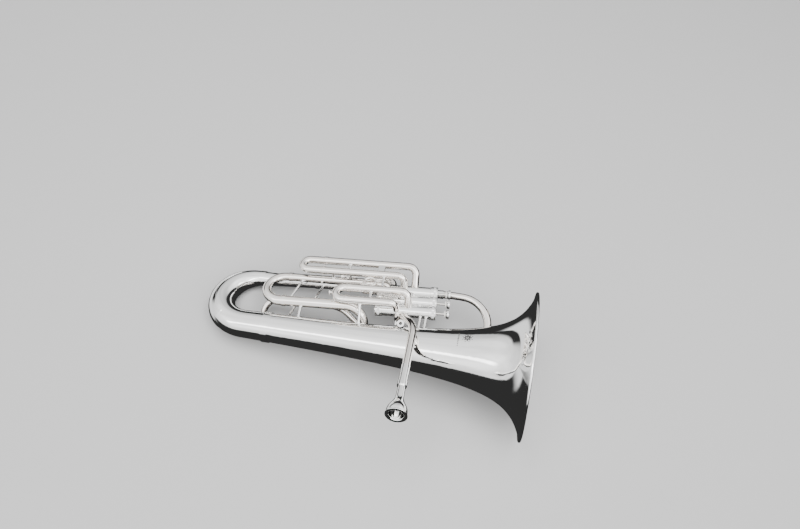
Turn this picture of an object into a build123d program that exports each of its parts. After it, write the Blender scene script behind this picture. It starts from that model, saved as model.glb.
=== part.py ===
from build123d import *
import os
from math import cos, radians, sin

# A small tuba of the tenor kind: a wide conical bell, a bottom bow, a rising branch, a top bow
# and three piston valves with their slides. It is drawn in the instrument's own frame and then
# laid down as it rests on a table.
#
# Instrument frame: the bell's axis is X and its mouth, at X = 0, opens towards +X. The outer
# branch runs beside the bell on the +Y side, and the leadpipe crosses the bell on its +Z side.
# Valve frame: turned a few degrees about Z. "along" runs up the pistons to the finger buttons,
# "across" goes from valve 1 to valve 3, and "up" is Z, counted from the pistons' common plane.
# All sizes are in millimetres and degrees.

# --- driving dimensions ---------------------------------------------------------------------
RIM_RADIUS = 140.0            # 11 inch bell
FLARE_LENGTH = 20.0           # how quickly the flare opens near the rim
FLARE_POWER = 0.48            # how quickly the throat narrows
BELL_JOINT_X = -516.0         # where the bell is joined to the bottom bow
BELL_WALL = 0.9
BEAD_RADIUS = 2.4             # wire rolled into the rim
TUBE_WALL = 0.8

BOW_CENTRE_X = -567.0
BOW_RADIUS = 67.0
BOW_END_RADIUS = 15.0         # tube radius where the bow meets the outer branch
BOW_TAPER = 2.5               # above 1, the bow keeps its width for longer before it narrows
GUARD_SPAN = (0.2, 0.8)        # part of the bow that its guard covers
GUARD_THICKNESS = 0.8
BRANCH_SLOPE = 3.75           # the outer branch leans away from the bell
BRANCH_LENGTH = 381.0
BRANCH_WAIST = 121.0          # length of the wider first part of the branch
BRANCH_WAIST_RADIUS = 10.5
TOP_TUBE_RADIUS = 7.6         # top bow and the small end of the branch
TOP_BOW_REACH_X = -86.0       # axis of the top bow at its furthest reach
RETURN_LEG = (45.0, -45.0)    # Y and Z of the leg that returns behind the bell

LOOP_RADIUS = 6.2             # tube of the inner loop
LOOP_BACK_X = -512.0
LOOP_FAR = (82.0, 0.0)
LOOP_NEAR = (30.0, -50.0)
CROOK_X = -368.0              # where the inner loop turns round behind the bell

VALVE_ORIGIN = (-195.0, 111.0, 20.0)
VALVE_TILT = 5.0
VALVE_SPACING = 27.5
CASING_RADIUS = 12.2
CASING_BORE = 10.4
CASING_BOTTOM = -113.0
CASING_TOP = -4.0
CAP_RADIUS = 13.5
CAP_OVERLAP = 7.0             # how far a cap screws over its casing
TOP_CAP_FACE = 2.0
BOTTOM_CAP_FACE = -119.0
PISTON_RADIUS = 10.35
PISTON_TOP = -10.0
PISTON_BOTTOM = -82.0
PISTON_TRAVEL = 16.5
PISTON_WALL = 1.0
SPRING_RECESS = 7.0           # depth of the spring's seat inside the piston
PORT_RADIUS = 6.0
LINK_PLACES = (-36.0, -50.0)   # tubes from casing 1 to 2 and from casing 2 to 3
STEM_RADIUS = 2.4
BUTTON_RADIUS = 9.4
BUTTON_THICKNESS = 7.0
FELT_THICKNESS = 2.5
FELT_RADIUS = 6.5
FELT_GAP = 0.6                # felt to top cap when the piston is fully down
SPRING_RADIUS = 7.6
SPRING_WIRE = 0.6
SPRING_PITCH = 4.4

SLIDE_CLEARANCE = 0.05        # inner leg in outer sleeve, on the radius
SLIDE_GAP = 0.3               # bow to sleeve mouth when pushed home
FERRULE_LENGTH = 7.0
FERRULE_THICKNESS = 0.9

# Each slide: its two legs as (across, up, axial place of the port in the casing), tube radius,
# seam between bow and sleeves, back of the bow's straight part, length of the inner legs.
SLIDES = {
    1: dict(valve=-VALVE_SPACING, legs=((-46.5, 40.0, -77.0), (-13.0, 40.0, -54.0)),
            radius=7.8, seam=-176.0, back=-180.0, leg=60.0, bend=15.0),
    2: dict(valve=0.0, legs=((-1.0, 21.4, -74.0), (17.0, 25.0, -98.0)),
            radius=5.6, seam=-134.0, back=-142.0, leg=26.0, bend=7.8),
    3: dict(valve=VALVE_SPACING, legs=((31.5, 40.0, -67.0), (61.0, 40.0, -45.0)),
            radius=7.5, seam=-236.0, back=-264.0, leg=120.0, bend=16.0),
}

MAIN_NEAR = (-33.8, 10.0)     # across and up of the main tuning slide's legs
MAIN_FAR = (35.4, 10.0)
MAIN_NEAR_RADIUS = 10.2
MAIN_FAR_RADIUS = 8.0
MAIN_SEAM = -308.0
MAIN_BACK = -312.0
MAIN_LEG = 84.0
MAIN_NEAR_END = -186.0        # the near sleeve meets the crook here
MAIN_FAR_END = -150.0         # the far sleeve leaves its straight run here
MAIN_PORT = (-92.0, 56.0)

LEADPIPE_RADIUS = 7.4
LEADPIPE_BORE = 6.4
LEADPIPE_HEIGHT = 60.0        # axis of the leadpipe where it crosses the bell
LEAD_PORT = -72.0             # axial place of its port, which points a little downwards
LEAD_PORT_TURN = 15.0
RECEIVER_END = (-216.0, -138.0)
RECEIVER_RADIUS = 8.9
RECEIVER_LENGTH = 46.0
RECEIVER_BORE = 6.25
SHANK_DEPTH = 24.0
MOUTHPIECE_LENGTH = 84.0
CUP_RADIUS = 20.0

STAY_RADIUS = 2.4             # braces between tubes
STAY_FOOT = 3.6
STAY_FOOT_THICKNESS = 1.4
RING_RADIUS = 11.4            # thumb ring
RING_WIRE = 2.1
RING_PLACE = (-134.0, 8.2, 40.0)
LYRE_RADIUS = 5.4             # socket for a music clip
LYRE_BORE = 3.2
LYRE_LENGTH = 17.0
LYRE_LIP = 2.6                # length and radius of the rim at the socket's mouth
LYRE_LIP_RADIUS = 7.0
LYRE_FOOT = (-251.6, 33.0, 34.6)
LYRE_WAY = (0.12, -0.74, 0.66)

KEY_PIVOT = (-184.0, 23.5)    # water key: axial place and height of its pivot
KEY_NIPPLE = -195.0
KEY_TAIL = -168.0
KEY_WIDTH = 5.0
KEY_PIN_RADIUS = 0.9
KEY_NIPPLE_TOP = 19.6
CORK_THICKNESS = 1.6
KEY_GAP = 0.3                 # cork to nipple in the model

REST_PITCH = -8.845           # lays the instrument on its rim, its bottom bow and its inner loop
REST_ROLL = -12.14

VALVES = Location(VALVE_ORIGIN, (0, 0, VALVE_TILT))
MIN_Z = (Align.CENTER, Align.CENTER, Align.MIN)


# --- construction helpers -------------------------------------------------------------------
def at(along, across, up):
    """A point of the valve frame, in the instrument frame."""
    return (VALVES * Location((along, across, up))).position


def rod(start, end, radius):
    """A round bar from one point to another."""
    start, end = Vector(*start), Vector(*end)
    return Plane(start, z_dir=end - start) * Cylinder(radius, (end - start).length, align=MIN_Z)


def pipe(start, end, outer, inner):
    """A straight tube."""
    return rod(start, end, outer) - rod(start, end, inner)


def cone(start, end, start_radius, end_radius):
    """A tapered bar from one point to another."""
    start, end = Vector(*start), Vector(*end)
    bar = Cone(start_radius, end_radius, (end - start).length, align=MIN_Z)
    return Plane(start, z_dir=end - start) * bar


def bar_along(path, radius):
    """A solid round bar along a path."""
    return sweep(Plane(path @ 0, z_dir=path % 0) * Circle(radius), path=path)


def tube_along(path, radius, wall=TUBE_WALL):
    """The filled shape of a tube along a path, and the tube itself."""
    core = bar_along(path, radius)
    return core, core - bar_along(path, radius - wall)


def tapered_along(path, normal, radius_at, steps):
    """A tapering bar along a plane path whose plane has this normal."""
    sections = []
    for step in range(steps + 1):
        place = step / steps
        profile = Circle(radius_at(place))
        sections.append(Plane(path @ place, x_dir=normal, z_dir=path % place) * profile)
    return loft(sections)


def steady_taper(start_radius, end_radius):
    """Radius of an evenly tapering tube, from its start (0) to its end (1)."""
    return lambda place: start_radius + (end_radius - start_radius) * place


def u_turn(start, corner_a, corner_b, end):
    """A U of two equal quarter bends that fill the distance between its legs."""
    corner_a, corner_b = Vector(*corner_a), Vector(*corner_b)
    return FilletPolyline(start, corner_a, corner_b, end, radius=0.499 * (corner_b - corner_a).length)


def collar(start, end, radius, *cores):
    """A ring soldered round one or more tubes."""
    ring = rod(start, end, radius)
    for core in cores:
        ring -= core
    return ring


def stay(start, end, start_radius, end_radius, *cores):
    """A brace with a foot at each end, fitted to the tubes that it joins."""
    start, end = Vector(*start), Vector(*end)
    way = (end - start).normalized()
    brace = rod(start, end, STAY_RADIUS)
    brace += rod(start, start + way * (start_radius + STAY_FOOT_THICKNESS), STAY_FOOT)
    brace += rod(end - way * (end_radius + STAY_FOOT_THICKNESS), end, STAY_FOOT)
    for core in cores:
        brace -= core
    return brace


# --- bell and bows --------------------------------------------------------------------------
def bell_radius(x):
    """Outer radius of the bell: a Bessel horn."""
    return RIM_RADIUS * ((FLARE_LENGTH - x) / FLARE_LENGTH) ** -FLARE_POWER


def bell_outline(depth, x_end=BELL_JOINT_X, points=13):
    """The bell's outline, set back from its outer surface by a depth."""
    growth = ((FLARE_LENGTH - x_end) / FLARE_LENGTH) ** (1 / (points - 1))
    outline = []
    for step in range(points):
        x = FLARE_LENGTH * (1 - growth ** step)
        radius = bell_radius(x)
        slope = FLARE_POWER * radius / (FLARE_LENGTH - x)
        stretch = (1 + slope ** 2) ** 0.5
        outline.append((x + depth * slope / stretch, radius - depth / stretch))
    return outline


def bell_core():
    outline = bell_outline(0)
    face = make_face([Spline(outline), Polyline(outline[-1], (outline[-1][0], 0), (0, 0), outline[0])])
    return revolve(face, Axis.X)


def bell():
    outer = bell_outline(0)
    inner = bell_outline(BELL_WALL)
    edges = [Spline(outer), Line(outer[-1], inner[-1]), Spline(inner), Line(inner[0], outer[0])]
    return revolve(make_face(edges), Axis.X)


def rim_wire(bell_solid):
    """Wire at the rim, with the bell's edge let into it."""
    bead = Plane((0.4, 0, 0), z_dir=(1, 0, 0)) * Torus(RIM_RADIUS - 0.4, BEAD_RADIUS)
    return bead - bell_solid


def bow_path():
    lead_in = (BELL_JOINT_X, 0)
    centre = (BOW_CENTRE_X, BOW_RADIUS)
    line = Line(lead_in, (BOW_CENTRE_X, 0))
    arc = CenterArc(centre, BOW_RADIUS, 270, -(180 - BRANCH_SLOPE))
    return line, arc


def bow_radius(place):
    """Outer radius of the bottom bow, from the bell's side (0) to the branch (1)."""
    start = bell_radius(BOW_CENTRE_X)
    return start - (start - BOW_END_RADIUS) * place ** BOW_TAPER


def bottom_bow_solid(set_back):
    line, arc = bow_path()
    start = bell_radius(BELL_JOINT_X) - set_back
    turn = bell_radius(BOW_CENTRE_X) - set_back
    lead = loft([Plane(line @ 0, x_dir=(0, 0, 1), z_dir=line % 0) * Circle(start),
                 Plane(line @ 1, x_dir=(0, 0, 1), z_dir=line % 1) * Circle(turn)])
    return lead + tapered_along(arc, (0, 0, 1), lambda place: bow_radius(place) - set_back, 12)


def bow_guard(core):
    """Thin plate over the outside of the bottom bow, where it would be knocked."""
    _, arc = bow_path()
    first, last = GUARD_SPAN
    trimmed = arc.trim(first, last)
    thick = tapered_along(trimmed, (0, 0, 1),
                          lambda place: bow_radius(first + (last - first) * place) + GUARD_THICKNESS, 9)
    inside = Pos(BOW_CENTRE_X, BOW_RADIUS, 0) * Cylinder(BOW_RADIUS + 9, 100)
    return thick - core - inside


def branch_axis():
    _, arc = bow_path()
    start = arc @ 1
    way = Vector(cos(radians(BRANCH_SLOPE)), sin(radians(BRANCH_SLOPE)), 0)
    return start, start + way * BRANCH_WAIST, start + way * BRANCH_LENGTH


def outer_branch_core(set_back=0.0):
    start, waist, end = branch_axis()
    wide = cone(start, waist, BOW_END_RADIUS - set_back, BRANCH_WAIST_RADIUS - set_back)
    return wide + cone(waist, end, BRANCH_WAIST_RADIUS - set_back, TOP_TUBE_RADIUS - set_back)


def top_bow_path():
    _, _, start = branch_axis()
    far = (TOP_BOW_REACH_X, start.Y - 1.0, 0)
    near = (TOP_BOW_REACH_X, RETURN_LEG[0], RETURN_LEG[1])
    reach = (Vector(*far) - Vector(*near)).length
    way = Vector(cos(radians(BRANCH_SLOPE)), sin(radians(BRANCH_SLOPE)), 0)
    points = [start, start + way * 24, far, near, (-190.0, *RETURN_LEG)]
    return FilletPolyline(*points, radius=[100, 0.499 * reach, 0.499 * reach])


def top_bow_guard(core):
    """Thin plate over the outside of the top bow."""
    path = top_bow_path()
    shell = bar_along(path, TOP_TUBE_RADIUS + 0.7) - core
    middle = (Vector(0, *RETURN_LEG) + Vector(0, (path @ 0).Y, 0)) * 0.5
    span = (path @ 0).Y - RETURN_LEG[0]
    normal = Vector(0, RETURN_LEG[1], -span)
    bend = 0.5 * (span ** 2 + RETURN_LEG[1] ** 2) ** 0.5
    centre = Vector(TOP_BOW_REACH_X - bend, middle.Y, middle.Z)
    inside = Plane(centre, z_dir=normal) * Cylinder(bend + 2.0, 60)
    wedge = Plane(centre, x_dir=(1, 0, 0), z_dir=normal) * Pos(bend, 0, 0) * Box(bend * 1.1, bend * 1.5, 60)
    return (shell - inside) & wedge


def inner_branch_path():
    return FilletPolyline((-190.0, *RETURN_LEG), (-310.0, *RETURN_LEG), (-385.0, *LOOP_FAR),
                          (LOOP_BACK_X + 8, *LOOP_FAR), radius=[60, 60])


def inner_loop_path():
    back = LOOP_BACK_X - 0.5 * (Vector(*LOOP_FAR) - Vector(*LOOP_NEAR)).length
    return u_turn((LOOP_BACK_X + 8, *LOOP_FAR), (back, *LOOP_FAR), (back, *LOOP_NEAR),
                  (CROOK_X - 8, *LOOP_NEAR))


def crook_path():
    """From the inner loop, round behind the bell and up to the main slide's near sleeve."""
    near = at(MAIN_NEAR_END, *MAIN_NEAR)
    way = (at(0, *MAIN_NEAR) - at(-1, *MAIN_NEAR)).normalized()
    start = Vector(CROOK_X - 8, *LOOP_NEAR)
    reach = 0.5 * (near - Vector(CROOK_X, *LOOP_NEAR)).length
    first = Vector(CROOK_X + reach, *LOOP_NEAR)
    second = near + way * (reach + 0.5)
    return FilletPolyline(start, first, second, near, radius=0.46 * (second - first).length)


def crook_bar(path, set_back):
    """The crook widens from the inner loop to the main slide's sleeve."""
    taper = steady_taper(LOOP_RADIUS - set_back, MAIN_NEAR_RADIUS - set_back)
    chord = (path @ 1) - (path @ 0)
    pieces = []
    done = 0.0
    for edge in path.order_edges():
        share = edge.length / path.length
        steps = 1 if edge.geom_type == GeomType.LINE else 5
        normal = (edge % 0.5).cross(chord).normalized()
        piece_taper = steady_taper(taper(done), taper(done + share))
        pieces.append(tapered_along(edge, normal, piece_taper, steps))
        done += share
    bar = pieces[0]
    for piece in pieces[1:]:
        bar += piece
    return bar


# --- valves ---------------------------------------------------------------------------------
def valve_places():
    return {1: -VALVE_SPACING, 2: 0.0, 3: VALVE_SPACING}


def casing_core(across):
    return rod(at(CASING_BOTTOM, across, 0), at(CASING_TOP, across, 0), CASING_RADIUS)


def casing(across, bores):
    tube = casing_core(across) - rod(at(CASING_BOTTOM, across, 0), at(CASING_TOP, across, 0), CASING_BORE)
    for bore in bores:
        tube -= bore
    return tube


def top_cap(across):
    cap = rod(at(CASING_TOP - CAP_OVERLAP, across, 0), at(TOP_CAP_FACE, across, 0), CAP_RADIUS)
    cap -= rod(at(CASING_TOP - CAP_OVERLAP, across, 0), at(CASING_TOP, across, 0), CASING_RADIUS)
    cap -= rod(at(CASING_TOP, across, 0), at(TOP_CAP_FACE - 2.4, across, 0), CASING_BORE)
    return cap - rod(at(CASING_TOP, across, 0), at(TOP_CAP_FACE + 1, across, 0), STEM_RADIUS + 0.6)


def bottom_cap(across):
    cap = rod(at(BOTTOM_CAP_FACE, across, 0), at(CASING_BOTTOM + CAP_OVERLAP, across, 0), CAP_RADIUS)
    cap -= rod(at(CASING_BOTTOM, across, 0), at(CASING_BOTTOM + CAP_OVERLAP, across, 0), CASING_RADIUS)
    cap -= rod(at(BOTTOM_CAP_FACE + 2.4, across, 0), at(CASING_BOTTOM, across, 0), CASING_BORE)
    cap += rod(at(BOTTOM_CAP_FACE - 2.2, across, 0), at(BOTTOM_CAP_FACE, across, 0), 5.0)
    return cap - rod(at(BOTTOM_CAP_FACE - 3, across, 0), at(BOTTOM_CAP_FACE + 3, across, 0), 1.6)


def piston(across):
    """Hollow piston with three slanting air ways right through it and a seat for its spring."""
    bottom, top = at(PISTON_BOTTOM, across, 0), at(PISTON_TOP, across, 0)
    blank = rod(bottom, top, PISTON_RADIUS)
    body = blank - rod(bottom, at(PISTON_TOP - 2, across, 0), PISTON_RADIUS - PISTON_WALL)
    seat = PISTON_BOTTOM + SPRING_RECESS
    body += rod(at(seat, across, 0), at(seat + 1.2, across, 0), PISTON_RADIUS - 0.1)
    ways = []
    for middle, turn in ((-60.0, 0.0), (-43.0, 60.0), (-26.0, 120.0)):
        side_across = cos(radians(turn)) * (PISTON_RADIUS + 1)
        side_up = sin(radians(turn)) * (PISTON_RADIUS + 1)
        low = at(middle - 1.5, across + side_across, side_up)
        high = at(middle + 1.5, across - side_across, -side_up)
        body += rod(low, high, PORT_RADIUS + 0.7) & blank
        ways.append(rod(low, high, PORT_RADIUS))
    for way in ways:
        body -= way
    return body


def stem(across):
    return rod(at(PISTON_TOP, across, 0), at(button_base(), across, 0), STEM_RADIUS)


def button_base():
    """Underside of the finger button, with the piston up."""
    return TOP_CAP_FACE + PISTON_TRAVEL + FELT_GAP + FELT_THICKNESS


def felt(across):
    low = at(button_base() - FELT_THICKNESS, across, 0)
    high = at(button_base(), across, 0)
    return pipe(low, high, FELT_RADIUS, STEM_RADIUS)


def button(across):
    """Finger button: a dished disc on a short neck."""
    base = button_base()
    face = base + BUTTON_THICKNESS
    disc = cone(at(base, across, 0), at(base + 3.4, across, 0), 5.2, BUTTON_RADIUS)
    disc += rod(at(base + 3.4, across, 0), at(face, across, 0), BUTTON_RADIUS)
    dish = rod(at(face - 0.9, across, 0), at(face + 1, across, 0), BUTTON_RADIUS - 1.3)
    return disc - dish


def spring(across):
    """Coil spring under the piston."""
    length = PISTON_BOTTOM + SPRING_RECESS - (BOTTOM_CAP_FACE + 2.4) - 2 * SPRING_WIRE - 0.2
    coil = Helix(pitch=SPRING_PITCH, height=length, radius=SPRING_RADIUS)
    wire = sweep(Plane(coil @ 0, z_dir=coil % 0) * Circle(SPRING_WIRE), path=coil)
    seat = Plane(at(BOTTOM_CAP_FACE + 2.5 + SPRING_WIRE, across, 0), z_dir=at(1, 0, 0) - at(0, 0, 0))
    return seat * wire


# --- slides ---------------------------------------------------------------------------------
def valve_slide(number):
    """Bow, inner legs, sleeves with their elbows, sleeve cores and bores of one valve slide."""
    size = SLIDES[number]
    radius, seam, back = size["radius"], size["seam"], size["back"]
    bore = radius - TUBE_WALL
    leg = bore - SLIDE_CLEARANCE
    (a_across, a_up, _), (b_across, b_up, _) = size["legs"]
    turn = back - 0.5 * ((a_across - b_across) ** 2 + (a_up - b_up) ** 2) ** 0.5
    path = u_turn(at(seam, a_across, a_up), at(turn, a_across, a_up), at(turn, b_across, b_up),
                  at(seam, b_across, b_up))
    bow_core = bar_along(path, radius)
    bow = bow_core - bar_along(path, leg - TUBE_WALL)
    legs, sleeves, cores, bores, ferrules = [], [], [], [], []
    for across, up, port in size["legs"]:
        legs.append(pipe(at(seam, across, up), at(seam + size["leg"], across, up), leg, leg - TUBE_WALL))
        mouth = at(seam + SLIDE_GAP, across, up)
        reach = ((across - size["valve"]) ** 2 + up ** 2) ** 0.5
        inward = (CASING_BORE + 0.5) / reach
        end = at(port, size["valve"] + (across - size["valve"]) * inward, up * inward)
        route = FilletPolyline(mouth, at(port, across, up), end, radius=size["bend"])
        core, bore_bar = bar_along(route, radius), bar_along(route, bore)
        sleeves.append(core - bore_bar - casing_core(size["valve"]))
        cores.append(core)
        bores.append(bore_bar)
        ferrule_end = at(seam + SLIDE_GAP + FERRULE_LENGTH, across, up)
        ferrules.append(pipe(mouth, ferrule_end, radius + FERRULE_THICKNESS, radius))
    return dict(bow=bow, bow_core=bow_core, legs=legs, sleeves=sleeves, cores=cores, bores=bores,
                ferrules=ferrules)


def main_bow():
    """Bow of the main tuning slide, a little wider on its near side."""
    near, far = at(MAIN_BACK, *MAIN_NEAR), at(MAIN_BACK, *MAIN_FAR)
    half = 0.5 * (far - near).length
    top = at(MAIN_BACK - half, 0.5 * (MAIN_NEAR[0] + MAIN_FAR[0]), MAIN_NEAR[1])
    arc = ThreePointArc(near, top, far)
    wall = 2 * TUBE_WALL + 0.1
    outer = tapered_along(arc, (0, 0, 1), steady_taper(MAIN_NEAR_RADIUS, MAIN_FAR_RADIUS), 8)
    inner = tapered_along(arc, (0, 0, 1), steady_taper(MAIN_NEAR_RADIUS - wall, MAIN_FAR_RADIUS - wall), 8)
    for place, radius in ((MAIN_NEAR, MAIN_NEAR_RADIUS), (MAIN_FAR, MAIN_FAR_RADIUS)):
        outer += rod(at(MAIN_BACK, *place), at(MAIN_SEAM, *place), radius)
        inner += rod(at(MAIN_BACK, *place), at(MAIN_SEAM, *place), radius - wall)
    return outer - inner


def main_legs():
    legs = []
    for place, radius in ((MAIN_NEAR, MAIN_NEAR_RADIUS), (MAIN_FAR, MAIN_FAR_RADIUS)):
        leg = radius - TUBE_WALL - SLIDE_CLEARANCE
        legs.append(pipe(at(MAIN_SEAM, *place), at(MAIN_SEAM + MAIN_LEG, *place), leg, leg - TUBE_WALL))
    return legs


def main_far_path():
    """From the far sleeve's mouth to the port of valve 3."""
    port, out = MAIN_PORT
    return FilletPolyline(at(MAIN_SEAM + SLIDE_GAP, *MAIN_FAR), at(MAIN_FAR_END, *MAIN_FAR),
                          at(-116.0, out, 1.0), at(port, out, 0), at(port, VALVE_SPACING + 11, 0),
                          radius=[30, 10, 12])


# --- leadpipe and mouthpiece ----------------------------------------------------------------
def lead_port(reach):
    """A point on the axis of the leadpipe's port, at a distance from the first valve's axis."""
    turn = radians(LEAD_PORT_TURN)
    return at(LEAD_PORT, -VALVE_SPACING - reach * cos(turn), -reach * sin(turn))


def leadpipe_points():
    """Out of the first valve, up beside it, and straight across the bell to the mouthpiece."""
    end = Vector(*RECEIVER_END, LEADPIPE_HEIGHT)
    crossing = Vector(-221, 8, LEADPIPE_HEIGHT)
    return [lead_port(11), lead_port(25), Vector(-251, 43.5, 42), crossing, end]


def leadpipe_way():
    *_, crossing, end = leadpipe_points()
    return (end - crossing).normalized()


def leadpipe_path():
    points = leadpipe_points()
    points[-1] = points[-1] - leadpipe_way() * SHANK_DEPTH
    return FilletPolyline(*points, radius=[11, 24, 60])


def receiver():
    end = leadpipe_points()[-1]
    way = leadpipe_way()
    start = end - way * RECEIVER_LENGTH
    body = cone(start, start + way * 8, LEADPIPE_RADIUS + 0.6, RECEIVER_RADIUS - 0.8)
    body += rod(start + way * 8, end, RECEIVER_RADIUS - 0.8)
    body += rod(end - way * 9, end, RECEIVER_RADIUS)
    body -= rod(start, end - way * SHANK_DEPTH, LEADPIPE_RADIUS)
    return body - rod(end - way * SHANK_DEPTH, end, RECEIVER_BORE)


def mouthpiece():
    """Cup mouthpiece, turned about its axis, with its shank in the receiver."""
    seat = SHANK_DEPTH - 2.0
    tip = leadpipe_points()[-1] - leadpipe_way() * seat
    shank = RECEIVER_BORE - SLIDE_CLEARANCE
    length = MOUTHPIECE_LENGTH
    outer = [(0, shank), (seat, shank), (seat + 1, shank + 0.5), (46, 7.4)]
    cup = [(46, 7.4), (58, 11.5), (68, 16.8), (76, 18.6), (80, 18.2)]
    rim = [(80, 18.2), (81.6, CUP_RADIUS - 0.6), (length - 1.2, CUP_RADIUS), (length, CUP_RADIUS - 2.6),
           (length - 0.8, 13.6), (length - 3, 12.7)]
    well = [(length - 3, 12.7), (70, 12.0), (58, 7.6), (49, 3.3)]
    edges = [Polyline(outer), Spline(cup), Spline(rim), Spline(well),
             Polyline((49, 3.3), (40, 3.2), (0, 5.0), (0, shank))]
    blank = revolve(make_face(edges), Axis.X)
    return Plane(tip, x_dir=leadpipe_way(), z_dir=(0, 0, 1)) * blank


# --- fittings -------------------------------------------------------------------------------
def thumb_ring(*cores):
    """Ring for the thumb, soldered to the first valve slide."""
    ring = Location(at(*RING_PLACE), (0, 0, VALVE_TILT)) * Torus(RING_RADIUS, RING_WIRE)
    for core in cores:
        ring -= core
    return ring


def lyre_socket(pipe_core):
    foot, way = Vector(*LYRE_FOOT), Vector(*LYRE_WAY).normalized()
    tube = rod(foot, foot + way * LYRE_LENGTH, LYRE_RADIUS)
    tube += rod(foot + way * (LYRE_LENGTH - LYRE_LIP), foot + way * LYRE_LENGTH, LYRE_LIP_RADIUS)
    tube -= rod(foot - way, foot + way * (LYRE_LENGTH + 1), LYRE_BORE)
    return tube - pipe_core


def lyre_screw():
    """Thumb screw that holds the clip's shaft in its socket."""
    way = Vector(*LYRE_WAY).normalized()
    side = way.cross(Vector(0, 0, 1)).normalized()
    middle = Vector(*LYRE_FOOT) + way * (LYRE_LENGTH - 8)
    head = middle + side * (LYRE_RADIUS + 3.0)
    screw = rod(middle + side * LYRE_RADIUS, head, 1.5)
    screw += rod(head, head + side * 2.6, 3.6)
    return screw


def key_saddle(sleeve_core):
    """Nipple, two lugs and the pin of the water key, on top of the far sleeve."""
    pivot, height = KEY_PIVOT
    across = MAIN_FAR[0]
    nipple = rod(at(KEY_NIPPLE, across, MAIN_FAR[1]), at(KEY_NIPPLE, across, KEY_NIPPLE_TOP), 3.0)
    nipple -= rod(at(KEY_NIPPLE, across, MAIN_FAR[1]), at(KEY_NIPPLE, across, KEY_NIPPLE_TOP + 1), 1.4)
    frame = nipple - sleeve_core
    half = KEY_WIDTH / 2 + 0.35
    bottom = MAIN_FAR[1] + 4
    for side in (-1, 1):
        middle = at(pivot, across + side * (half + 0.6), (bottom + height + 2) / 2)
        lug = Location(middle, (0, 0, VALVE_TILT)) * Box(5.0, 1.2, height + 2 - bottom)
        frame += lug - sleeve_core
    pin = rod(at(pivot, across - half - 1.6, height), at(pivot, across + half + 1.6, height), KEY_PIN_RADIUS)
    return frame + pin


def key_lever():
    """Rocking lever with the cup that holds the cork."""
    pivot, height = KEY_PIVOT
    across = MAIN_FAR[0]
    half = KEY_WIDTH / 2
    cup_base = KEY_NIPPLE_TOP + KEY_GAP + CORK_THICKNESS
    lever = rod(at(pivot, across - half, height), at(pivot, across + half, height), 2.3)
    lever += rod(at(KEY_NIPPLE, across, cup_base), at(KEY_NIPPLE, across, cup_base + 2.2), 3.8)
    middle = at((KEY_NIPPLE + KEY_TAIL) / 2, across, height + 1.0)
    lever += Location(middle, (0, 0, VALVE_TILT)) * Box(KEY_TAIL - KEY_NIPPLE, 3.6, 1.6)
    lever += rod(at(KEY_TAIL, across, height + 0.2), at(KEY_TAIL, across, height + 1.8), 3.4)
    return lever - rod(at(pivot, across - 9, height), at(pivot, across + 9, height), KEY_PIN_RADIUS + 0.07)


def key_cork():
    across = MAIN_FAR[0]
    base = KEY_NIPPLE_TOP + KEY_GAP
    return rod(at(KEY_NIPPLE, across, base), at(KEY_NIPPLE, across, base + CORK_THICKNESS), 3.2)


def slide_knob(core):
    """Pull knob on the back of the first slide's bow."""
    size = SLIDES[1]
    (a_across, up, _), (b_across, _, _) = size["legs"]
    middle = 0.5 * (a_across + b_across)
    back = size["back"] - 0.5 * (b_across - a_across)
    knob = rod(at(back, middle, up), at(back - size["radius"] - 3, middle, up), 2.0) - core
    tip = back - size["radius"] - 3
    return knob + rod(at(tip, middle, up), at(tip - 2.4, middle, up), 5.0)


def tube_stays(cores, branch_core):
    """Braces between tubes of the instrument's body."""
    near, far = cores["near"], cores["far"]
    one, three = cores["slides"][1], cores["slides"][3]
    start, _, end = branch_axis()
    way = (end - start).normalized()
    (one_near, up, _), (one_far, _, _) = SLIDES[1]["legs"]
    (three_near, _, _), (three_far, _, _) = SLIDES[3]["legs"]
    one_radius, three_radius = SLIDES[1]["radius"], SLIDES[3]["radius"]
    stays = [
        stay(at(-296.5, *MAIN_NEAR), at(-276, *MAIN_FAR), MAIN_NEAR_RADIUS, MAIN_FAR_RADIUS, near, far),
        stay(at(-247, *MAIN_NEAR), start + way * 134, MAIN_NEAR_RADIUS, BRANCH_WAIST_RADIUS, near,
             branch_core),
        stay(at(-181, three_near, up), at(-181, three_far, up), three_radius, three_radius, *three),
        stay(at(-128, one_near, up), at(-128, one_far, up), one_radius, one_radius, *one),
        stay(at(-108, one_far, up), at(-108, three_near, up), one_radius, three_radius, one[1], three[0]),
        stay(at(-214, *MAIN_FAR), at(-214, three_near, up), MAIN_FAR_RADIUS, three_radius, far, three[0]),
        stay(at(-30, VALVE_SPACING, 0), start + way * 348, CASING_RADIUS, TOP_TUBE_RADIUS + 0.4,
             casing_core(VALVE_SPACING), branch_core),
    ]
    width = three_far - three_near
    block = Location(at(-115, three_near + width / 2, up), (0, 0, VALVE_TILT)) * Box(13, width, 8)
    return stays + [block - three[0] - three[1]]


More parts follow.
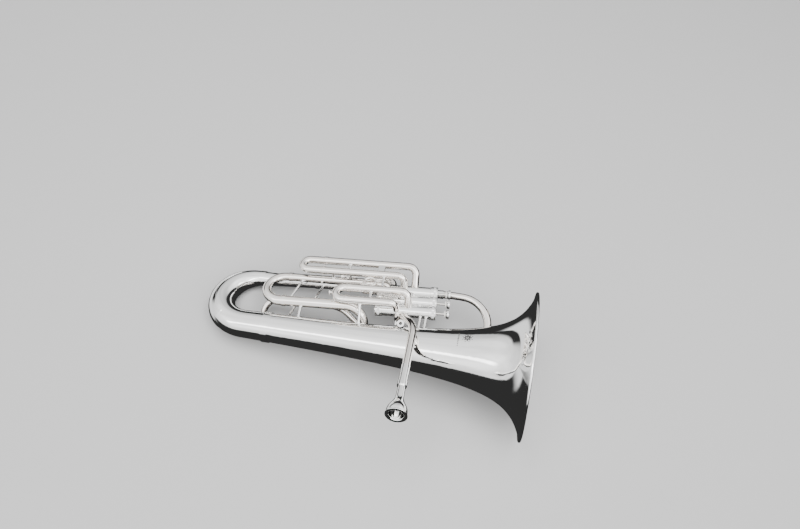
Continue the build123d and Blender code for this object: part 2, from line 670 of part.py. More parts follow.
def bell_stays(cores, throat, lead_core):
    """Braces that tie the tubes and the first valve to the bell."""
    near, one = cores["near"], cores["slides"][1]
    first = casing_core(-VALVE_SPACING)
    crossing, end = leadpipe_points()[-2:]
    return [
        stay(at(-268, *MAIN_NEAR), (-458, 16, 14), MAIN_NEAR_RADIUS, 8, near, throat),
        stay(at(-146, SLIDES[1]["legs"][0][0], 40), (-333, 18, 24), SLIDES[1]["radius"], 6, one[0], throat),
        stay((-478, *LOOP_FAR), (-482, 20, 10), LOOP_RADIUS, 9, cores["inner"], throat),
        stay((-440, *LOOP_NEAR), (-440, 12, -18), LOOP_RADIUS, 10, cores["loop"], throat),
        stay((-178, *RETURN_LEG), (-178, 26, -26), TOP_TUBE_RADIUS, 9, cores["top"], throat),
        stay(at(-27, -VALVE_SPACING, 0), (-218, 28, 12), CASING_RADIUS, 12, first, throat),
        stay(at(-15.5, -VALVE_SPACING, 0), (-206.5, 28, 12), CASING_RADIUS, 12, first, throat),
        stay(crossing + (end - crossing) * 0.3, (-221, -24, 30), LEADPIPE_RADIUS, 4, lead_core, throat),
    ]


# --- assembly -------------------------------------------------------------------------------
def build():
    """Every sub-part by name, in the instrument frame."""
    parts = {}
    places = valve_places()

    throat = bell_core()
    parts["bell"] = bell()
    parts["bell_rim_wire"] = rim_wire(parts["bell"])
    bow_core = bottom_bow_solid(0)
    parts["bottom_bow"] = bow_core - bottom_bow_solid(BELL_WALL)
    parts["bottom_bow_guard"] = bow_guard(bow_core)
    joint = bell_radius(BELL_JOINT_X)
    parts["bell_ferrule"] = collar((BELL_JOINT_X - 7, 0, 0), (BELL_JOINT_X + 7, 0, 0), joint + 1.5,
                                   throat, bow_core)

    branch_start, branch_waist, branch_end = branch_axis()
    branch_way = (branch_end - branch_start).normalized()
    branch_core = outer_branch_core()
    parts["outer_branch"] = branch_core - outer_branch_core(TUBE_WALL)

    top_core, parts["top_bow"] = tube_along(top_bow_path(), TOP_TUBE_RADIUS)
    parts["top_bow_guard"] = top_bow_guard(top_core)
    branch_ferrules = [collar(branch_start - branch_way * 5, branch_start + branch_way * 6,
                              BOW_END_RADIUS + 1.2, bow_core, branch_core),
                       collar(branch_waist - branch_way * 6, branch_waist + branch_way * 6,
                              BRANCH_WAIST_RADIUS + 1.2, branch_core),
                       collar(branch_end - branch_way * 6, branch_end + branch_way * 6,
                              TOP_TUBE_RADIUS + 1.2, branch_core, top_core)]
    parts["branch_ferrules"] = Compound(branch_ferrules)
    inner_core, parts["inner_branch"] = tube_along(inner_branch_path(), LOOP_RADIUS)
    loop_core, parts["inner_loop"] = tube_along(inner_loop_path(), LOOP_RADIUS)
    return_joint = Vector(-190.0, *RETURN_LEG)
    loop_joint = Vector(LOOP_BACK_X + 8, *LOOP_FAR)
    half = Vector(5, 0, 0)
    inner_ferrules = collar(return_joint - half, return_joint + half, TOP_TUBE_RADIUS + 1, top_core,
                            inner_core)
    inner_ferrules += collar(loop_joint - half, loop_joint + half, LOOP_RADIUS + 1, inner_core, loop_core)
    crook = crook_path()
    crook_core = crook_bar(crook, 0.0)
    parts["crook"] = crook_core - crook_bar(crook, TUBE_WALL)
    crook_joint = crook @ 0
    inner_ferrules += collar(crook_joint - half, crook_joint + half, LOOP_RADIUS + 1, loop_core, crook_core)
    parts["inner_ferrules"] = inner_ferrules

    near_mouth, near_end = at(MAIN_SEAM + SLIDE_GAP, *MAIN_NEAR), at(MAIN_NEAR_END, *MAIN_NEAR)
    near_core = rod(near_mouth, near_end, MAIN_NEAR_RADIUS)
    far_core = bar_along(main_far_path(), MAIN_FAR_RADIUS)
    far_bore = bar_along(main_far_path(), MAIN_FAR_RADIUS - TUBE_WALL)
    parts["main_slide_near_sleeve"] = near_core - rod(near_mouth, near_end, MAIN_NEAR_RADIUS - TUBE_WALL)
    parts["main_slide_far_sleeve"] = far_core - far_bore - casing_core(VALVE_SPACING)
    main_ferrules = []
    for place, radius in ((MAIN_NEAR, MAIN_NEAR_RADIUS), (MAIN_FAR, MAIN_FAR_RADIUS)):
        main_ferrules.append(pipe(at(MAIN_SEAM + SLIDE_GAP, *place),
                                  at(MAIN_SEAM + SLIDE_GAP + FERRULE_LENGTH, *place),
                                  radius + FERRULE_THICKNESS, radius))
    parts["main_slide_bow"] = main_bow()
    parts["main_slide_legs"] = Compound(main_legs())

    slides = {number: valve_slide(number) for number in SLIDES}
    lead_core, lead_shell = tube_along(leadpipe_path(), LEADPIPE_RADIUS, LEADPIPE_RADIUS - LEADPIPE_BORE)
    lead_bore = bar_along(leadpipe_path(), LEADPIPE_BORE)
    links, link_bores = [], []
    for low, along in zip((-VALVE_SPACING, 0.0), LINK_PLACES):
        ends = at(along, low + 11.5, 0), at(along, low + VALVE_SPACING - 11.5, 0)
        link = pipe(*ends, PORT_RADIUS + TUBE_WALL, PORT_RADIUS)
        links.append(link - casing_core(low) - casing_core(low + VALVE_SPACING))
        link_bores.append(rod(*ends, PORT_RADIUS))
    parts["valve_links"] = Compound(links)

    bores = {1: slides[1]["bores"] + [lead_bore, link_bores[0]],
             2: slides[2]["bores"] + link_bores,
             3: slides[3]["bores"] + [far_bore, link_bores[1]]}
    caps, cap_bottoms = [], []
    for number, across in places.items():
        parts[f"valve_casing_{number}"] = casing(across, bores[number])
        caps.append(top_cap(across))
        cap_bottoms.append(bottom_cap(across))
        parts[f"piston_{number}"] = piston(across)
        parts[f"valve_stem_{number}"] = stem(across)
        parts[f"finger_button_{number}"] = button(across)
        parts[f"button_felt_{number}"] = felt(across)
        parts[f"valve_spring_{number}"] = spring(across)
    parts["valve_top_caps"] = Compound(caps)
    parts["valve_bottom_caps"] = Compound(cap_bottoms)

    slide_ferrules = list(main_ferrules)
    for number, slide in slides.items():
        parts[f"slide_{number}_bow"] = slide["bow"]
        parts[f"slide_{number}_legs"] = Compound(slide["legs"])
        parts[f"slide_{number}_sleeves"] = Compound(slide["sleeves"])
        slide_ferrules += slide["ferrules"]
    parts["slide_ferrules"] = Compound(slide_ferrules)

    parts["leadpipe"] = lead_shell - casing_core(-VALVE_SPACING)
    cores = dict(near=near_core, far=far_core, inner=inner_core, loop=loop_core, top=top_core,
                 slides={number: slide["cores"] for number, slide in slides.items()})
    parts["tube_stays"] = Compound(tube_stays(cores, branch_core))
    parts["bell_stays"] = Compound(bell_stays(cores, throat, lead_core))
    parts["thumb_ring"] = thumb_ring(*slides[1]["cores"], *slides[3]["cores"])
    parts["lyre_socket"] = lyre_socket(lead_core)
    parts["lyre_screw"] = lyre_screw()
    parts["water_key_saddle"] = key_saddle(far_core)
    parts["water_key_lever"] = key_lever()
    parts["water_key_cork"] = key_cork()
    parts["slide_1_knob"] = slide_knob(slides[1]["bow_core"])
    parts["mouthpiece_receiver"] = receiver()
    parts["mouthpiece"] = mouthpiece()
    return parts


def lay_down(parts):
    """Rests the instrument on the ground plane, with the origin under the middle of its box."""
    turn = Rot(0, REST_PITCH, 0) * Rot(REST_ROLL, 0, 0)
    turned = {name: turn * shape for name, shape in parts.items()}
    boxes = [shape.bounding_box() for shape in turned.values()]
    low = [min(tuple(box.min)[i] for box in boxes) for i in range(3)]
    high = [max(tuple(box.max)[i] for box in boxes) for i in range(3)]
    shift = Pos(-(low[0] + high[0]) / 2, -(low[1] + high[1]) / 2, -low[2])
    return {name: shift * shape for name, shape in turned.items()}, shift * turn


if __name__ == "__main__":
    os.makedirs("parts", exist_ok=True)
    laid, _ = lay_down(build())
    for name, shape in laid.items():
        shape.label = name
        export_step(shape, f"parts/{name}.step")
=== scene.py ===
"""Looks of a silver-plated tenor tuba lying on a grey table.

The script gives the CAD nodes their materials and adds the camera, the lights, the surroundings that
the silver mirrors, and the detail pieces that are finer than the CAD.
"""
import math
from functools import reduce

import bpy
from mathutils import Matrix, Vector


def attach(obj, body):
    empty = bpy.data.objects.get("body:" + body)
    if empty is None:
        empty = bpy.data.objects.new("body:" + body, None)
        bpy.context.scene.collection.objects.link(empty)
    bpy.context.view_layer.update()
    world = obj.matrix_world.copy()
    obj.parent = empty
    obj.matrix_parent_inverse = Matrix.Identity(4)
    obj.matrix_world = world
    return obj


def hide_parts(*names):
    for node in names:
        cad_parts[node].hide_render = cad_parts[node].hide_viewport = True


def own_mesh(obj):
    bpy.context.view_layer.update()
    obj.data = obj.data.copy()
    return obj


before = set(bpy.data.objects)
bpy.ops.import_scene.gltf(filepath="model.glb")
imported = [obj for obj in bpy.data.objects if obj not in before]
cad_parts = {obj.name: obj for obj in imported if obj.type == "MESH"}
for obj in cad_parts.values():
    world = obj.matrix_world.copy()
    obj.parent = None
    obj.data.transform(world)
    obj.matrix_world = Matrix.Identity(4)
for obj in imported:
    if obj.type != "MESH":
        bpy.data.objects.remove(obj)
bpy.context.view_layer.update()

# --- the instrument's own frame ---------------------------------------------------------------
# Origin at the middle of the bell's rim, X along the bell towards its mouth, Y towards the
# valves, Z towards the leadpipe. The model lies turned a little, as it rests on the table.
REST_PITCH = math.radians(-8.845)
REST_ROLL = math.radians(-12.14)
RIM_CENTRE = Vector((0.313175, 0.001858, 0.140279))     # metres, model's frame
REST = (Matrix.Translation(RIM_CENTRE) @ Matrix.Rotation(REST_PITCH, 4, "Y")
        @ Matrix.Rotation(REST_ROLL, 4, "X"))

# The valve frame: along the pistons towards the finger buttons, across the three valves, and up.
VALVE_ORIGIN = Vector((-195.0, 111.0, 20.0))            # millimetres, instrument's frame
VALVE_TILT = math.radians(5.0)


def place(x, y, z):
    """A point of the instrument's frame, given in millimetres, in the model's frame."""
    return REST @ Vector((x / 1000, y / 1000, z / 1000))


def way(x, y, z):
    """A direction of the instrument's frame, in the model's frame."""
    return (REST.to_3x3() @ Vector((x, y, z))).normalized()


def at(along, across, up):
    """A point of the valve frame, in millimetres, in the instrument's frame."""
    return VALVE_ORIGIN + Matrix.Rotation(VALVE_TILT, 3, "Z") @ Vector((along, across, up))


UP_THE_VALVES = at(1, 0, 0) - at(0, 0, 0)
DOWN_THE_VALVES = at(-1, 0, 0) - at(0, 0, 0)


# --- shader graphs ----------------------------------------------------------------------------
class Graph:
    """The shader nodes of a material or of the world, with short calls for the usual ones."""

    def __init__(self, owner):
        owner.use_nodes = True
        self.nodes, self.links = owner.node_tree.nodes, owner.node_tree.links

    def combine(self, operation, first, second):
        """A sum, difference or product of two values, each a socket or a number."""
        node = self.nodes.new("ShaderNodeMath")
        node.operation = operation
        for socket, value in zip(node.inputs, (first, second)):
            if isinstance(value, (int, float)):
                socket.default_value = value
            else:
                self.links.new(value, socket)
        return node.outputs[0]

    def total(self, *values):
        return reduce(lambda first, second: self.combine("ADD", first, second), values)

    def product(self, *values):
        return reduce(lambda first, second: self.combine("MULTIPLY", first, second), values)

    def opposite(self, value):
        return self.combine("SUBTRACT", 1.0, value)

    def step(self, value, start, end, low=0.0, high=1.0):
        """A smooth step from low, where the value is start, to high, where it is end."""
        node = self.nodes.new("ShaderNodeMapRange")
        node.interpolation_type = "SMOOTHSTEP"
        node.inputs["From Min"].default_value = start
        node.inputs["From Max"].default_value = end
        node.inputs["To Min"].default_value = low
        node.inputs["To Max"].default_value = high
        self.links.new(value, node.inputs["Value"])
        return node.outputs["Result"]

    def coordinates(self, kind):
        return self.nodes.new("ShaderNodeTexCoord").outputs[kind]

    def noise(self, kind, scale, detail):
        """Cloudy noise over one kind of coordinates."""
        texture = self.nodes.new("ShaderNodeTexNoise")
        texture.inputs["Scale"].default_value = scale
        texture.inputs["Detail"].default_value = detail
        self.links.new(self.coordinates(kind), texture.inputs["Vector"])
        return texture.outputs["Fac"]

    def tones(self, value, *stops):
        """A colour ramp through stops, each a position and a colour."""
        ramp = self.nodes.new("ShaderNodeValToRGB")
        elements = ramp.color_ramp.elements
        for end, (position, colour) in ((0, stops[0]), (1, stops[-1])):
            elements[end].position = position
            elements[end].color = (*colour, 1)
        for position, colour in stops[1:-1]:
            elements.new(position).color = (*colour, 1)
        self.links.new(value, ramp.inputs["Fac"])
        return ramp.outputs["Color"]

    def bumps(self, value, strength, distance):
        """A surface that rises and falls with the value."""
        bump = self.nodes.new("ShaderNodeBump")
        bump.inputs["Strength"].default_value = strength
        bump.inputs["Distance"].default_value = distance
        self.links.new(value, bump.inputs["Height"])
        return bump.outputs["Normal"]


# --- camera -----------------------------------------------------------------------------------
CAMERA_PLACE = (-72.15, -880.42, 1034.02)     # millimetres, instrument's frame
CAMERA_DOWN = math.radians(42.3)              # below the instrument's own XY plane
CAMERA_TURN = math.radians(11.2)              # from its Y, away from the bell's mouth
CAMERA_LENS = 31.5
CAMERA_CLIP = 0.05


def add_camera():
    forward_flat = Vector((-math.sin(CAMERA_TURN), math.cos(CAMERA_TURN), 0))
    up = Vector((0, 0, 1))
    forward = math.cos(CAMERA_DOWN) * forward_flat - math.sin(CAMERA_DOWN) * up
    top = math.sin(CAMERA_DOWN) * forward_flat + math.cos(CAMERA_DOWN) * up
    forward, top = way(*forward), way(*top)
    right = forward.cross(top)
    data = bpy.data.cameras.new("camera")
    data.lens = CAMERA_LENS
    data.clip_start = CAMERA_CLIP
    camera = bpy.data.objects.new("camera", data)
    turn = Matrix((right, top, -forward)).transposed()
    camera.matrix_world = Matrix.Translation(place(*CAMERA_PLACE)) @ turn.to_4x4()
    bpy.context.scene.collection.objects.link(camera)
    bpy.context.scene.camera = camera


# --- surroundings -----------------------------------------------------------------------------
# Polished silver shows little but what is round it, so the world gives it its light and dark bands.
# Each band is a smooth step along one coordinate of the direction looked in: where the step starts
# and ends, then the brightness at each end where that isn't 0 and 1.
HORIZON_TILT = 0.3                        # the table's dark edge stands higher towards the bell
HORIZON = (0.06, 0.13)                    # along Z, less the tilt
SKY_FAR = (0.95, 0.45, 0.85, 1.55)        # along Y: dimmer on the far side
SKY_NEAR = (0.25, -0.40, 0.0, 0.55)       # along Y: more light on the near side
SKY_HEIGHT = (0.05, 0.50, 0.72, 1.05)     # along Z: brighter overhead
SKY_LENGTH = (0.05, 0.50, 1.0, 1.5)       # along X: brighter beyond the bell
STRIP_FAR_EDGE = (-0.34, -0.41)           # along Y: a strip light over the near side
STRIP_NEAR_EDGE = (-0.55, -0.48)          # along Y
STRIP_FOOT = (0.35, 0.55, 0.0, 3.2)       # along Z
CLOUD_SCALE, CLOUD_DETAIL = 2.2, 2.0
CLOUDS = (0.35, 0.65, 0.88, 1.08)         # along the noise: patches that keep the sky from being even
SCREEN_SIDE = (0.30, 0.50)                # along Y: a dark screen low on the far side
SCREEN_TOP = (0.24, 0.12)                 # along Z
WALL_END = (-0.36, -0.52)                 # along X: a pale wall past the bottom bow, below the horizon
WALL_FOOT = (-0.64, -0.50)                # along Z
WALL_SIDE = (-0.35, 0.0)                  # along Y
WALL_GLOW = 1.3
SHADE = 0.035                             # what is left where it is dark
DIFFUSE_SHARE = 0.28                      # how much of this reaches matt surfaces
BACKDROP = 1.25                           # what the camera sees past the table


def add_world():
    world = bpy.data.worlds.new("studio")
    bpy.context.scene.world = world
    graph = Graph(world)
    step, product = graph.step, graph.product
    split = graph.nodes.new("ShaderNodeSeparateXYZ")
    graph.links.new(graph.coordinates("Generated"), split.inputs[0])
    x, y, z = split.outputs
    horizon = step(graph.combine("SUBTRACT", z, product(x, HORIZON_TILT)), *HORIZON)

    strip = product(step(y, *STRIP_FAR_EDGE), step(y, *STRIP_NEAR_EDGE), step(z, *STRIP_FOOT))
    slope = graph.total(step(y, *SKY_FAR), step(y, *SKY_NEAR), strip)
    patch = step(graph.noise("Generated", CLOUD_SCALE, CLOUD_DETAIL), *CLOUDS)
    sky = product(product(slope, patch), product(step(z, *SKY_HEIGHT), step(x, *SKY_LENGTH)))
    screen = product(step(y, *SCREEN_SIDE), step(z, *SCREEN_TOP))
    above = product(sky, graph.opposite(screen), horizon)
    wall = product(step(x, *WALL_END), step(z, *WALL_FOOT), graph.opposite(horizon),
                   step(y, *WALL_SIDE), WALL_GLOW)
    mirrored = graph.total(above, wall, SHADE)

    rays = graph.nodes.new("ShaderNodeLightPath")
    seen = rays.outputs["Is Camera Ray"]
    share = step(rays.outputs["Is Diffuse Ray"], 0, 1, 1.0, DIFFUSE_SHARE)
    hidden = product(mirrored, share, graph.opposite(seen))
    background = graph.nodes["Background"]
    background.inputs["Color"].default_value = (1, 1, 1, 1)
    graph.links.new(graph.total(hidden, product(seen, BACKDROP)), background.inputs["Strength"])


# --- floor and lights -------------------------------------------------------------------------
FLOOR_REACH = 40.0
FLOOR_POINTS = 96
FLOOR_GREY = 0.60
LIGHTS = (
    # name, place, aimed at, width and height in metres, watts, whether the silver mirrors it
    ("top", (0.0, -0.2, 2.2), (0, 0.05, 0.1), (1.8, 1.4), 52, False),
    ("front", (-0.6, -2.2, 1.2), (0, 0, 0.1), (1.8, 1.0), 14, False),
    ("side", (2.2, 0.3, 1.3), (0.2, 0, 0.1), (1.0, 1.4), 12, True),
)


def add_floor():
    """A matt grey disc, so wide that its edge is the horizon; the silver doesn't mirror it."""
    mesh = bpy.data.meshes.new("floor")
    turns = [2 * math.pi * step / FLOOR_POINTS for step in range(FLOOR_POINTS)]
    mesh.from_pydata([(FLOOR_REACH * math.cos(turn), FLOOR_REACH * math.sin(turn), 0) for turn in turns],
                     [], [tuple(range(FLOOR_POINTS))])
    floor = bpy.data.objects.new("floor", mesh)
    bpy.context.scene.collection.objects.link(floor)
    paint = bpy.data.materials.new("floor_paint")
    shader = Graph(paint).nodes["Principled BSDF"]
    shader.inputs["Base Color"].default_value = (FLOOR_GREY, FLOOR_GREY, FLOOR_GREY, 1)
    shader.inputs["Roughness"].default_value = 0.8
    shader.inputs["Specular IOR Level"].default_value = 0.1
    mesh.materials.append(paint)
    floor.visible_glossy = False


def add_light(name, where, target, size, power, mirrored):
    data = bpy.data.lights.new(name, "AREA")
    data.shape = "RECTANGLE"
    data.size, data.size_y = size
    data.energy = power
    light = bpy.data.objects.new(name, data)
    light.location = where
    light.rotation_mode = "QUATERNION"
    light.rotation_quaternion = (Vector(target) - Vector(where)).to_track_quat("-Z", "Y")
    light.visible_glossy = mirrored
    bpy.context.scene.collection.objects.link(light)


add_camera()
add_world()
add_floor()
for light_row in LIGHTS:
    add_light(*light_row)


# --- materials --------------------------------------------------------------------------------
LOW_TONE, HIGH_TONE = 0.35, 0.65              # share of the noise where the two tones start


def metal(name, bright, dull, smooth, rough, haze_scale=14.0, mark_scale=70.0):
    """Polished metal: a clear mirror with a breath of haze and faint polishing marks."""
    material = bpy.data.materials.new(name)
    graph = Graph(material)
    shader = graph.nodes["Principled BSDF"]
    shader.inputs["Metallic"].default_value = 1.0
    haze = graph.noise("Object", haze_scale, 4.0)
    marks = graph.noise("Object", mark_scale, 2.0)
    graph.links.new(graph.tones(haze, (LOW_TONE, dull), (HIGH_TONE, bright)), shader.inputs["Base Color"])
    graph.links.new(graph.step(haze, 0.3, 0.75, rough, smooth), shader.inputs["Roughness"])
    graph.links.new(graph.bumps(marks, 0.02, 0.001), shader.inputs["Normal"])
    return material


def soft(name, light, dark, roughness, scale, depth):
    """Felt or cork: matt, mottled and slightly rough to the touch."""
    material = bpy.data.materials.new(name)
    graph = Graph(material)
    shader = graph.nodes["Principled BSDF"]
    grain = graph.noise("Object", scale, 6.0)
    graph.links.new(graph.tones(grain, (LOW_TONE, dark), (HIGH_TONE, light)), shader.inputs["Base Color"])
    shader.inputs["Roughness"].default_value = roughness
    graph.links.new(graph.bumps(grain, 0.5, depth), shader.inputs["Normal"])
    return material


def pearl():
    """Mother of pearl: pale, with rosy and greenish clouds under a clear coat."""
    material = bpy.data.materials.new("mother_of_pearl")
    graph = Graph(material)
    shader = graph.nodes["Principled BSDF"]
    cloud = graph.noise("Object", 160.0, 5.0)
    tones = graph.tones(cloud, (0.30, (0.84, 0.80, 0.76)), (0.45, (0.90, 0.83, 0.82)),
                        (0.58, (0.82, 0.89, 0.86)), (0.72, (0.93, 0.93, 0.88)))
    graph.links.new(tones, shader.inputs["Base Color"])
    shader.inputs["Roughness"].default_value = 0.22
    shader.inputs["Coat Weight"].default_value = 0.8
    shader.inputs["Coat Roughness"].default_value = 0.05
    return material


BODY_SILVER = metal("silver_plate", (0.94, 0.942, 0.938), (0.915, 0.915, 0.905), 0.035, 0.075)
# The slide silver's warmer base colour is a painted warm reflection, not a colour of the metal.
SLIDE_SILVER = metal("silver_plate_warm_reflection", (0.94, 0.905, 0.868), (0.89, 0.85, 0.81), 0.04, 0.08,
                     haze_scale=30.0)
NICKEL = metal("nickel_silver", (0.80, 0.79, 0.755), (0.74, 0.725, 0.69), 0.16, 0.24, mark_scale=260.0)
STEEL = metal("spring_steel", (0.66, 0.66, 0.67), (0.55, 0.55, 0.56), 0.22, 0.32)
ENGRAVED = metal("darkened_silver", (0.20, 0.195, 0.19), (0.12, 0.118, 0.115), 0.30, 0.42)
FELT = soft("white_felt", (0.90, 0.89, 0.86), (0.80, 0.79, 0.75), 0.95, 900.0, 0.0004)
CORK = soft("cork", (0.66, 0.47, 0.29), (0.42, 0.27, 0.15), 0.85, 700.0, 0.0003)
PEARL = pearl()


def material_of(name):
    """What a CAD node is made of; the slide, crook, leadpipe, inner, top bow and thumb tubes get a warmer
    base colour, a painted warm reflection.
    """
    if "felt" in name:
        return FELT
    if "cork" in name:
        return CORK
    if "spring" in name:
        return STEEL
    if name.startswith(("piston", "valve_stem")) or name.endswith("_legs"):
        return NICKEL
    if "slide" in name or name.startswith(("crook", "leadpipe", "inner_", "top_bow", "thumb")):
        return SLIDE_SILVER
    return BODY_SILVER


for node_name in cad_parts:
    for slot in bpy.data.objects[node_name].material_slots:
        slot.material = material_of(node_name)


# --- shapes of the detail pieces --------------------------------------------------------------
def add_mesh(name, points, faces, material, body, sharp=35.0):
    """A smooth-shaded detail piece, its points in metres in the model's frame."""
    mesh = bpy.data.meshes.new(name)
    mesh.from_pydata([tuple(point) for point in points], [], faces)
    mesh.validate()
    mesh.materials.append(material)
    for face in mesh.polygons:
        face.use_smooth = True
    mesh.set_sharp_from_angle(angle=math.radians(sharp))
    piece = bpy.data.objects.new(name, mesh)
    bpy.context.scene.collection.objects.link(piece)
    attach(piece, body)
    return piece


def frame_of(start, direction):
    """A start and an axis of the instrument's frame as vectors, and two ways square to the axis."""
    axis = Vector(direction).normalized()
    side = axis.orthogonal().normalized()
    return Vector(start), axis, side, axis.cross(side)


def ring_points(centre, side, other, radius, count, wave=0.0, teeth=0):
    """Points round a circle; a wave gives it rounded teeth."""
    points = []
    for step in range(count):
        angle = 2 * math.pi * step / count
        reach = radius + wave * 0.5 * (1 + math.cos(teeth * angle))
        aside, above = reach * math.cos(angle), reach * math.sin(angle)
        points.append(place(*(centre + side * aside + other * above)))
    return points


def turned(start, direction, profile, count=48, teeth=0, wave=()):
    """Points and faces of a closed turned shape; the profile is a loop of (along, radius)."""
    start, axis, side, other = frame_of(start, direction)
    points, faces = [], []
    for index, (along, radius) in enumerate(profile):
        tooth = wave[index] if wave else 0.0
        points += ring_points(start + axis * along, side, other, radius, count, tooth, teeth)
    rows = len(profile)
    for row in range(rows):
        after = (row + 1) % rows
        for step in range(count):
            following = (step + 1) % count
            faces.append((row * count + step, row * count + following,
                          after * count + following, after * count + step))
    return points, faces


def capped(start, direction, profile, count=48):
    """Points and faces of a turned shape whose profile starts and ends on the axis."""
    start, axis, side, other = frame_of(start, direction)
    points = [place(*(start + axis * profile[0][0]))]
    faces = []
    for along, radius in profile[1:-1]:
        points += ring_points(start + axis * along, side, other, radius, count)
    points.append(place(*(start + axis * profile[-1][0])))
    rows, last = len(profile) - 2, len(points) - 1
    for step in range(count):
        following = (step + 1) % count
        faces.append((0, 1 + following, 1 + step))
        for row in range(rows - 1):
            low, high = 1 + row * count, 1 + (row + 1) * count
            faces.append((low + step, low + following, high + following, high + step))
        top = 1 + (rows - 1) * count
        faces.append((last, top + step, top + following))
    return points, faces


def bead_profile(radius, width, height):
    """Cross-section of a half-round bead standing on a tube, its foot sunk a little into it."""
    foot = radius - 0.3
    profile = [(-width / 2, foot)]
    for step in range(9):
        angle = math.pi * step / 8
        profile.append((-width / 2 * math.cos(angle), radius + height * math.sin(angle)))
    profile.append((width / 2, foot))
    return profile


def milled_band(start, direction, span, foot, rim, chamfer, tooth, teeth):
    """Points and faces of a band of teeth between two plain edges, from foot to rim in radius."""
    near, far = span
    root = rim - 0.15
    profile = [(near, foot), (near, rim), (near + chamfer, root),
               (far - chamfer, root), (far, rim), (far, foot)]
    return turned(start, direction, profile, 6 * teeth, teeth, (0, 0, tooth, tooth, 0, 0))


def joined(*shapes):
    """Several point and face lists as one."""
    points, faces = [], []
    for shape_points, shape_faces in shapes:
        shift = len(points)
        points += shape_points
        faces += [tuple(index + shift for index in face) for face in shape_faces]
    return points, faces


def wire(path, radius, count=10):
    """Points and faces of a round wire through a list of instrument-frame points."""
    slant = Vector((0.13, 0.31, 0.94))        # a direction that none of the wires runs in
    points, faces = [], []
    for index, centre in enumerate(path):
        before, after = path[max(index - 1, 0)], path[min(index + 1, len(path) - 1)]
        axis = (after - before).normalized()
        side = axis.cross(slant).normalized()
        points += ring_points(centre, side, axis.cross(side), radius, count)
    for index in range(len(path) - 1):
        for step in range(count):
            following = (step + 1) % count
            low, high = index * count, (index + 1) * count
            faces.append((low + step, low + following, high + following, high + step))
    last = (len(path) - 1) * count
    faces.append(tuple(range(count))[::-1])
    faces.append(tuple(range(last, last + count)))
    return points, faces


# --- details of the valves --------------------------------------------------------------------
# All places in the valve frame, in millimetres.
VALVES = (1, 2, 3)
VALVE_SPACING = 27.5
CASING_RADIUS = 12.2
CAP_RADIUS = 13.5
CAP_ENDS = (
    # end, middle of the cap's milled band, from there to its lip, bead on the casing beside it
    ("top", -3.2, 4.6, -12.4),
    ("bottom", -112.6, -5.6, -104.8),
)
TOP_CAP_FACE = 2.0
PISTON_TRAVEL = 16.5
FELT_GAP = 0.6
FELT_THICKNESS = 2.5
BUTTON_HEIGHT = 7.0
BUTTON_FACE = TOP_CAP_FACE + PISTON_TRAVEL + FELT_GAP + FELT_THICKNESS + BUTTON_HEIGHT


def across_valve(number):
    return (number - 2) * VALVE_SPACING


def add_valve_details():
    """Pearl inlays in the finger buttons; milled bands, lips and beads on the caps and casings."""
    dome = [(-0.85, 0), (-0.85, 7.9), (-0.35, 7.95), (0.0, 7.5), (0.28, 6.0), (0.48, 3.5), (0.55, 0)]
    lip_shape = bead_profile(CAP_RADIUS - 0.1, 1.5, 0.6)
    bead_shape = bead_profile(CASING_RADIUS, 1.6, 0.7)
    for number in VALVES:
        across = across_valve(number)
        add_mesh(f"button_pearl_{number}", *capped(at(BUTTON_FACE, across, 0), UP_THE_VALVES, dome),
                 PEARL, f"piston_{number}")
        for end, middle, edge, inner in CAP_ENDS:
            teeth = milled_band(at(middle, across, 0), UP_THE_VALVES, (-2.6, 2.6),
                                CAP_RADIUS - 0.4, CAP_RADIUS + 0.25, 0.4, 0.55, 40)
            lip = turned(at(middle + edge, across, 0), UP_THE_VALVES, lip_shape, 64)
            bead = turned(at(inner, across, 0), UP_THE_VALVES, bead_shape, 64)
            add_mesh(f"valve_{end}_cap_grip_{number}", *joined(teeth, lip, bead), BODY_SILVER, "instrument")


def add_valve_springs():
    """The coil springs under the pistons, each drawn at one fixed length."""
    seat, length, radius, thread = -115.9, 40.2, 7.6, 0.6
    turns, steps_per_turn = 9.14, 24
    steps = turns * steps_per_turn
    for number in VALVES:
        across = across_valve(number)
        path = []
        for step in range(int(steps) + 1):
            angle = 2 * math.pi * step / steps_per_turn
            path.append(at(seat + length * step / steps, across + radius * math.cos(angle),
                           radius * math.sin(angle)))
        coil = add_mesh(f"valve_spring_coil_{number}", *wire(path, thread, 8), STEEL, "instrument",
                        sharp=60.0)
        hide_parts(f"valve_spring_{number}")
        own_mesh(coil)


# --- details of the slides and the leadpipe ----------------------------------------------------
SLIDE_MOUTHS = (
    # body, where its sleeve ends, place of that tube across and up, radius of the slide's bow there
    ("slide_1", -176.0, (-46.5, 40.0), 7.8),
    ("slide_1", -176.0, (-13.0, 40.0), 7.8),
    ("slide_2", -134.0, (-1.0, 21.4), 5.6),
    ("slide_2", -134.0, (17.0, 25.0), 5.6),
    ("slide_3", -236.0, (31.5, 40.0), 7.5),
    ("slide_3", -236.0, (61.0, 40.0), 7.5),
    ("main_slide", -308.0, (-33.8, 10.0), 10.2),
    ("main_slide", -308.0, (35.4, 10.0), 8.0),
)
SLEEVE_STEP = 0.9                             # how much wider the sleeve's ferrule is than the bow
SLEEVE_BEADS = ((1.4, 1.4, 0.45), (6.4, 1.2, 0.35))     # from the sleeve's end, width, height


def add_tube_beads():
    """Half-round beads on the ferrules and at the mouths of the slides."""
    fixed, moving = [], {}
    for body, seam, (across, up), radius in SLIDE_MOUTHS:
        for inward, width, height in SLEEVE_BEADS:
            fixed.append(turned(at(seam + inward, across, up), DOWN_THE_VALVES,
                                bead_profile(radius + SLEEVE_STEP, width, height)))
        moving.setdefault(body, []).append(
            turned(at(seam - 1.1, across, up), DOWN_THE_VALVES, bead_profile(radius, 1.6, 0.55)))
    add_mesh("sleeve_beads", *joined(*fixed), SLIDE_SILVER, "instrument")
    for body, shapes in moving.items():
        add_mesh(f"{body}_beads", *joined(*shapes), SLIDE_SILVER, body)


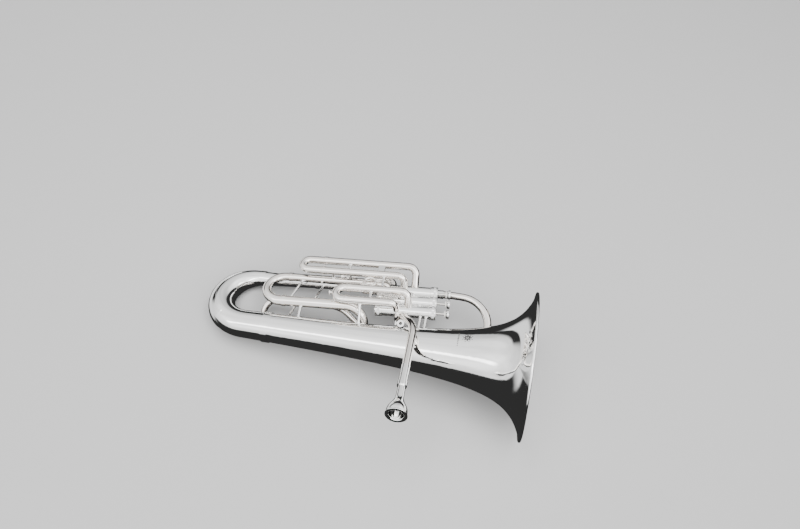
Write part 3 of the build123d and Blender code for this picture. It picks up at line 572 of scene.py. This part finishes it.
def add_key_spring():
    """Torsion spring round the water key's pivot, one leg on the sleeve and one under the lever."""
    pivot, height, across = -184.0, 23.5, 35.4
    coil_radius, coil_steps, rise = 2.75, 73, 0.014
    path = [at(pivot - 9.0, across + 3.4, height - 5.6), at(pivot - 3.2, across + 3.6, height - 2.4)]
    for step in range(coil_steps):
        angle = math.radians(230 + 15 * step)
        path.append(at(pivot + coil_radius * math.cos(angle), across + 3.7 + rise * step,
                       height + coil_radius * math.sin(angle)))
    path.append(at(pivot + 9.0, across + 4.6, height - 4.9))
    add_mesh("water_key_spring_wire", *wire(path, 0.35), STEEL, "instrument")


def add_lyre_grip():
    """Milled head of the thumb screw of the music clip's socket."""
    foot, direction = Vector((-251.6, 33.0, 34.6)), Vector((0.12, -0.74, 0.66)).normalized()
    side = direction.cross(Vector((0, 0, 1))).normalized()
    head = foot + direction * 9.0 + side * 8.4
    add_mesh("lyre_screw_grip", *milled_band(head, side, (0.3, 2.3), 3.4, 3.7, 0.3, 0.6, 20), BODY_SILVER,
             "instrument")


# --- ornament on the bell ---------------------------------------------------------------------
RIM_RADIUS = 140.0
FLARE_START = 20.0                            # how far before the rim the horn's curve has its pole
FLARE_POWER = 0.48
LEAF_SUNK, LEAF_RAISED = -0.25, 0.10          # of an inlay's two faces, from the bell's surface


def bell_radius(x):
    return RIM_RADIUS * ((FLARE_START - x) / FLARE_START) ** -FLARE_POWER


def on_bell(x, angle, lift):
    """A point on the bell's outer surface, lifted a little, in the model's frame."""
    reach = bell_radius(x) + lift
    return place(x, reach * math.cos(angle), reach * math.sin(angle))


def inlay(outline, x, angle):
    """A thin raised leaf on the bell; its outline is in millimetres along and round the bell."""
    radius = bell_radius(x)
    points = []
    for lift in (LEAF_SUNK, LEAF_RAISED):
        points += [on_bell(x + u, angle + v / radius, lift) for u, v in outline]
    count = len(outline)
    faces = [tuple(range(count))[::-1], tuple(range(count, 2 * count))]
    for step in range(count):
        following = (step + 1) % count
        faces.append((step, following, count + following, count + step))
    return points, faces


def leaf(turn, near, far, width):
    """Outline of a pointed leaf that grows outwards from a centre."""
    outline = []
    for step in range(12):
        angle = 2 * math.pi * step / 12
        along = (near + far) / 2 + (far - near) / 2 * math.cos(angle)
        aside = width / 2 * math.sin(angle) * (1 - 0.45 * math.cos(angle))
        outline.append((along * math.cos(turn) - aside * math.sin(turn),
                        along * math.sin(turn) + aside * math.cos(turn)))
    return outline


def add_ornament():
    """A small engraved rosette with a row of lozenges beside it, as on many bells."""
    x, angle = -118.0, math.radians(90)
    shapes = [inlay(leaf(math.radians(45 * step), 2.0, 8.6, 3.0), x, angle) for step in range(8)]
    shapes += [inlay(leaf(math.radians(22.5 + 45 * step), 8.0, 11.0, 1.4), x, angle) for step in range(8)]
    turns = [2 * math.pi * step / 12 for step in range(12)]
    shapes.append(inlay([(1.4 * math.cos(turn), 1.4 * math.sin(turn)) for turn in turns], x, angle))
    for step in range(9):
        turn = math.radians(77 + 4.0 * step)
        size = 2.0 - 0.15 * abs(step - 4)
        shapes.append(inlay([(size, 0), (0, size * 0.7), (-size, 0), (0, -size * 0.7)], -135.0, turn))
    add_mesh("bell_ornament", *joined(*shapes), ENGRAVED, "instrument", sharp=80.0)


add_valve_details()
add_tube_beads()
add_key_spring()
add_valve_springs()
add_lyre_grip()
add_ornament()
